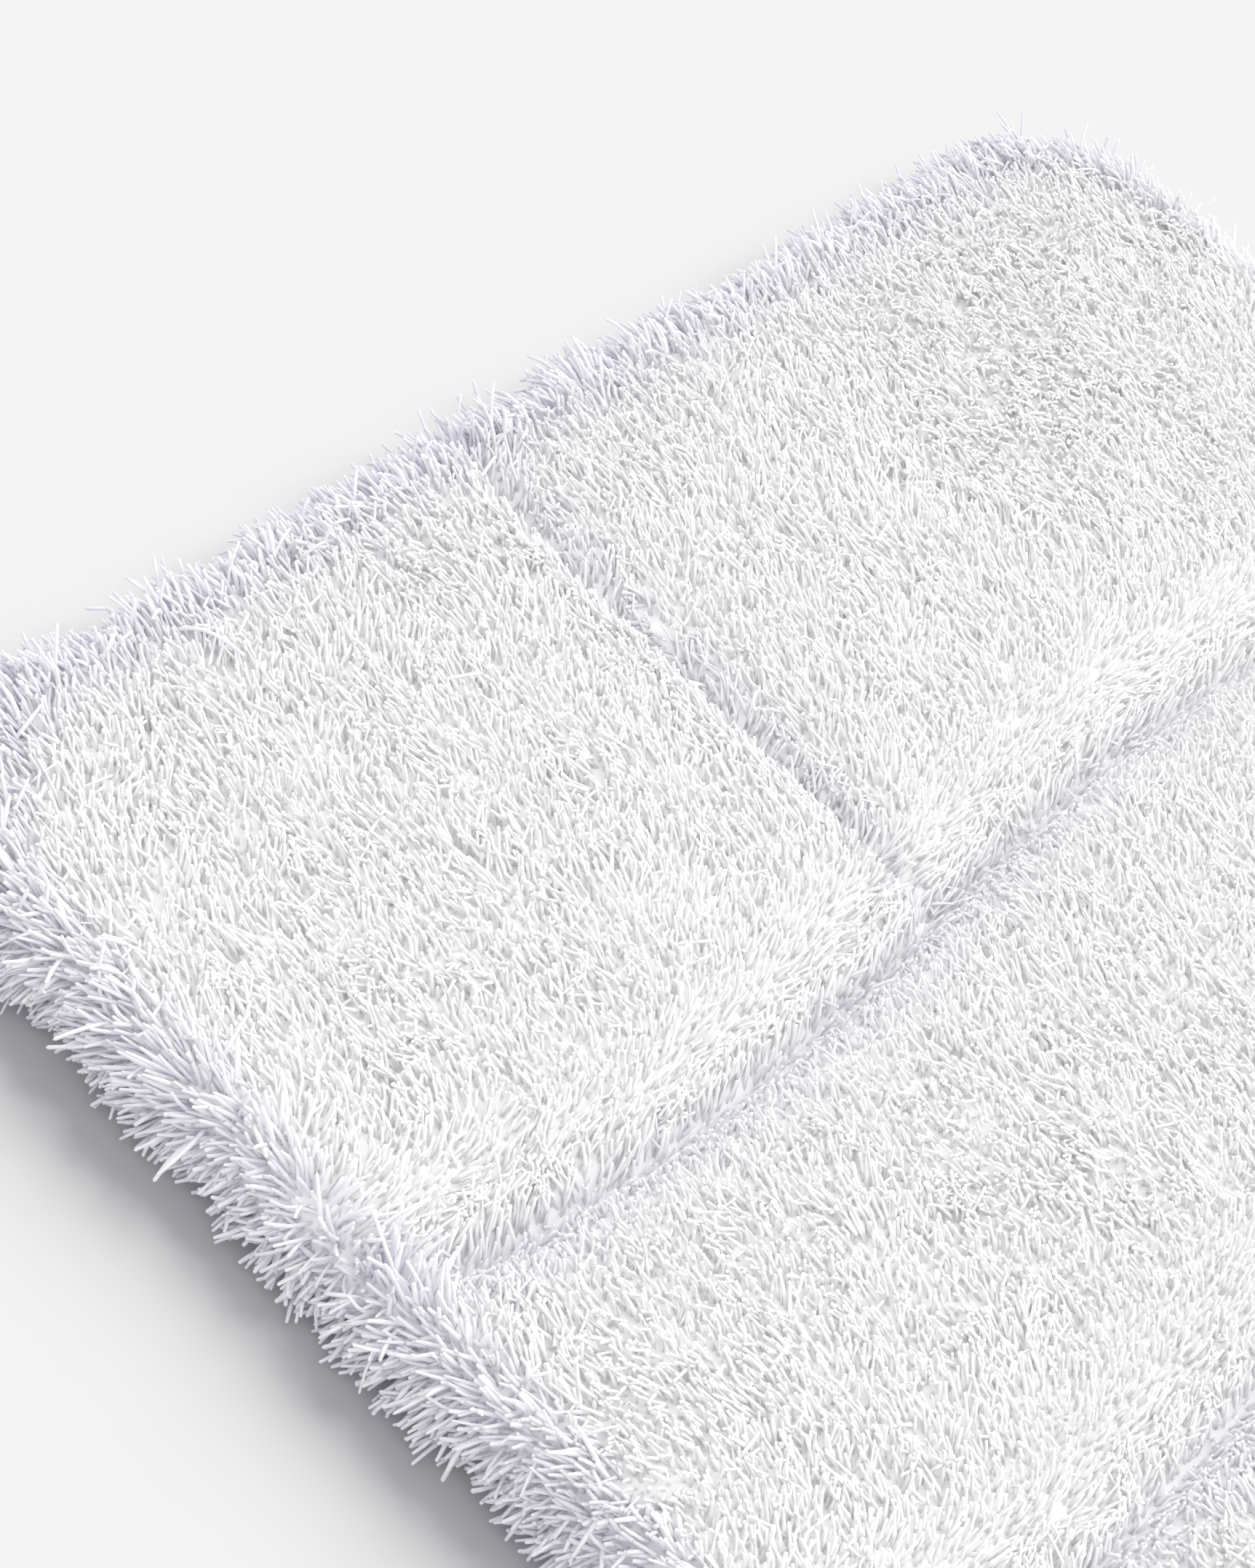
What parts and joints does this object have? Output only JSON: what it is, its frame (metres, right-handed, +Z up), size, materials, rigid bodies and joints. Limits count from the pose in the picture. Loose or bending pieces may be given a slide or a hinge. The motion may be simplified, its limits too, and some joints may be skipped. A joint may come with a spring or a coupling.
{
  "type": "bath mat",
  "caption": "Thick shaggy cut-pile bath mat, rectangular with round corners, bound edge and a dotted anti-slip underside.",
  "frame": {"origin": "on the floor, under the middle of the mat", "axes": "+Y along the long side, +X along the short side, +Z up through the pile"},
  "size_m": [0.5, 0.8, 0.026],
  "materials": {
    "pile_yarn": "soft twisted microfibre yarn, matt with a faint sheen",
    "tufting_cloth": "plain woven backing cloth",
    "latex": "dried latex coat, satin",
    "anti_slip_rubber": "moulded soft rubber with raised dots, satin",
    "binding_tape": "twill woven tape, matt",
    "sewing_thread": "spun polyester thread, slight sheen",
    "label_ribbon": "smooth woven ribbon, blank"
  },
  "bodies": {
    "root": {"pile": "pile_yarn", "tufting_cloth": "tufting_cloth", "latex_coat": "latex", "anti_slip_backing": "anti_slip_rubber", "edge_binding": "binding_tape", "needle_thread": "sewing_thread", "bobbin_thread": "sewing_thread", "care_label": "label_ribbon"}
  },
  "joints": []
}
